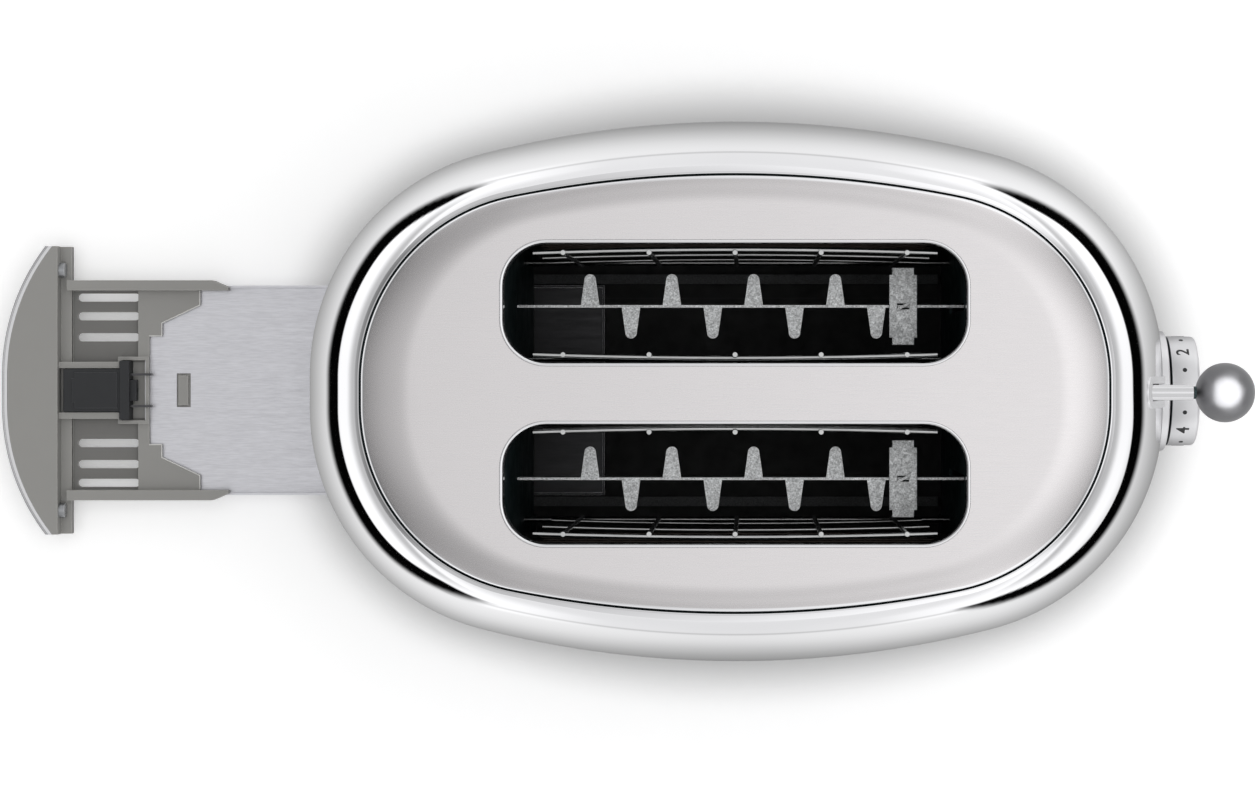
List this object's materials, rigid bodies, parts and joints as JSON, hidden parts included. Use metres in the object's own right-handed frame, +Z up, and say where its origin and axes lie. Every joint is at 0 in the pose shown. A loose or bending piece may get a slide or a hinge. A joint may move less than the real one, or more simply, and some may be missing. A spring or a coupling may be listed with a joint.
{
  "type": "two-slot toaster",
  "caption": "Oval chrome two-slot toaster with a ball lever, browning dial, push buttons and a latched crumb tray, shown pulled out.",
  "frame": {"origin": "centre of the body's footprint on the plane that the rubber feet rest on", "axes": "+Z up, +X from the crumb tray end to the lever end, +Y across the bread slots"},
  "size_m": [0.4517, 0.1966, 0.197],
  "materials": {
    "chrome": "polished",
    "satin_panel": "satin",
    "brushed_plate": "brushed",
    "galvanised": "matt spangled",
    "chamber_steel": "satin",
    "bright_wire": "drawn wire",
    "grey_plastic": "moulded matt",
    "dark_plastic": "moulded matt",
    "black_base": "moulded matt",
    "rubber": "matt",
    "mica": "sheet mica",
    "heater_ribbon": "oxidised",
    "board": "laminate",
    "copper": "enamelled wire",
    "iron": "plated",
    "zinc_screw": "zinc plated"
  },
  "bodies": {
    "housing": {"body_shell": "chrome", "top_panel": "satin_panel", "base_ring": "chrome", "base_pan": "black_base", "rubber_feet": "rubber", "cord_gland": "rubber", "lever_end_plate": "chamber_steel", "tray_end_plate": "chamber_steel", "front_reflector": "chamber_steel", "rear_reflector": "chamber_steel", "centre_reflector": "chamber_steel", "guide_rods": "zinc_screw", "rod_bridge": "galvanised", "rod_foot": "galvanised", "lift_spring": "bright_wire", "magnet_coil": "copper", "magnet_core": "iron", "lever_surround": "dark_plastic", "control_board": "board", "board_stands": "black_base", "dial_encoder": "dark_plastic", "key_switches": "dark_plastic", "button_guides": "black_base", "knob_bezel": "chrome", "tray_striker": "galvanised", "tray_guides": "galvanised", "heater_card_1": "mica", "heater_ribbon_1": "heater_ribbon", "heater_card_2": "mica", "heater_ribbon_2": "heater_ribbon", "heater_card_3": "mica", "heater_ribbon_3": "heater_ribbon", "heater_card_4": "mica", "heater_ribbon_4": "heater_ribbon"},
    "carriage": {"carriage_plate": "galvanised", "carriage_bushes": "dark_plastic", "armature": "iron", "lever_handle": "chrome", "front_lifter_blade": "galvanised", "rear_lifter_blade": "galvanised", "front_blade_strap": "galvanised", "rear_blade_strap": "galvanised"},
    "browning_knob": {"browning_knob": "chrome", "knob_shaft": "iron"},
    "crumb_tray": {"tray_frame": "grey_plastic", "tray_front_cover": "chrome", "tray_plate": "brushed_plate", "tray_screws": "zinc_screw", "latch_case": "dark_plastic", "latch_springs": "bright_wire"},
    "tray_latch": {"latch_tongue": "dark_plastic"},
    "guard_1": {"bread_guard_1": "bright_wire"},
    "button_1": {"push_button_1": "chrome"},
    "guard_2": {"bread_guard_2": "bright_wire"},
    "button_2": {"push_button_2": "chrome"},
    "guard_3": {"bread_guard_3": "bright_wire"},
    "button_3": {"push_button_3": "chrome"},
    "guard_4": {"bread_guard_4": "bright_wire"},
    "button_4": {"push_button_4": "chrome"}
  },
  "joints": [
    {"name": "lever_slide", "type": "slide", "parent": "housing", "child": "carriage", "axis": [0, 0, -1], "range_m": [0, 0.062], "stiffness_N_per_m": 60, "springref_m": -0.05, "deforming": ["lift_spring"]},
    {"name": "browning_turn", "type": "hinge", "parent": "housing", "child": "browning_knob", "pos_m": [0.1618, 0, 0.052], "axis": [-1, 0, 0], "range_deg": [-90, 135]},
    {"name": "tray_slide", "type": "slide", "parent": "housing", "child": "crumb_tray", "axis": [1, 0, 0], "range_m": [-0.02, 0.126]},
    {"name": "latch_press", "type": "slide", "parent": "crumb_tray", "child": "tray_latch", "axis": [-1, 0, 0], "range_m": [0, 0.0018], "stiffness_N_per_m": 300, "springref_m": -0.002},
    {"name": "guard_1_lean", "type": "hinge", "parent": "housing", "child": "guard_1", "pos_m": [0, -0.0463, 0.068], "axis": [-1, 0, 0], "range_deg": [0, 5.01]},
    {"name": "guard_2_lean", "type": "hinge", "parent": "housing", "child": "guard_2", "pos_m": [0, -0.0117, 0.068], "axis": [1, 0, 0], "range_deg": [0, 5.01]},
    {"name": "guard_3_lean", "type": "hinge", "parent": "housing", "child": "guard_3", "pos_m": [0, 0.0117, 0.068], "axis": [-1, 0, 0], "range_deg": [0, 5.01]},
    {"name": "guard_4_lean", "type": "hinge", "parent": "housing", "child": "guard_4", "pos_m": [0, 0.0463, 0.068], "axis": [1, 0, 0], "range_deg": [0, 5.01]},
    {"name": "button_1_press", "type": "slide", "parent": "housing", "child": "button_1", "axis": [-1, 0, 0], "range_m": [0, 0.0015], "stiffness_N_per_m": 400, "springref_m": -0.001},
    {"name": "button_2_press", "type": "slide", "parent": "housing", "child": "button_2", "axis": [-1, 0, 0], "range_m": [0, 0.0015], "stiffness_N_per_m": 400, "springref_m": -0.001},
    {"name": "button_3_press", "type": "slide", "parent": "housing", "child": "button_3", "axis": [-1, 0, 0], "range_m": [0, 0.0015], "stiffness_N_per_m": 400, "springref_m": -0.001},
    {"name": "button_4_press", "type": "slide", "parent": "housing", "child": "button_4", "axis": [-1, 0, 0], "range_m": [0, 0.0015], "stiffness_N_per_m": 400, "springref_m": -0.001}
  ],
  "couplings": [
    {"joint": "guard_1_lean", "follows": "lever_slide", "rad_per_m": 1.4075},
    {"joint": "guard_2_lean", "follows": "lever_slide", "rad_per_m": 1.4075},
    {"joint": "guard_3_lean", "follows": "lever_slide", "rad_per_m": 1.4075},
    {"joint": "guard_4_lean", "follows": "lever_slide", "rad_per_m": 1.4075}
  ]
}
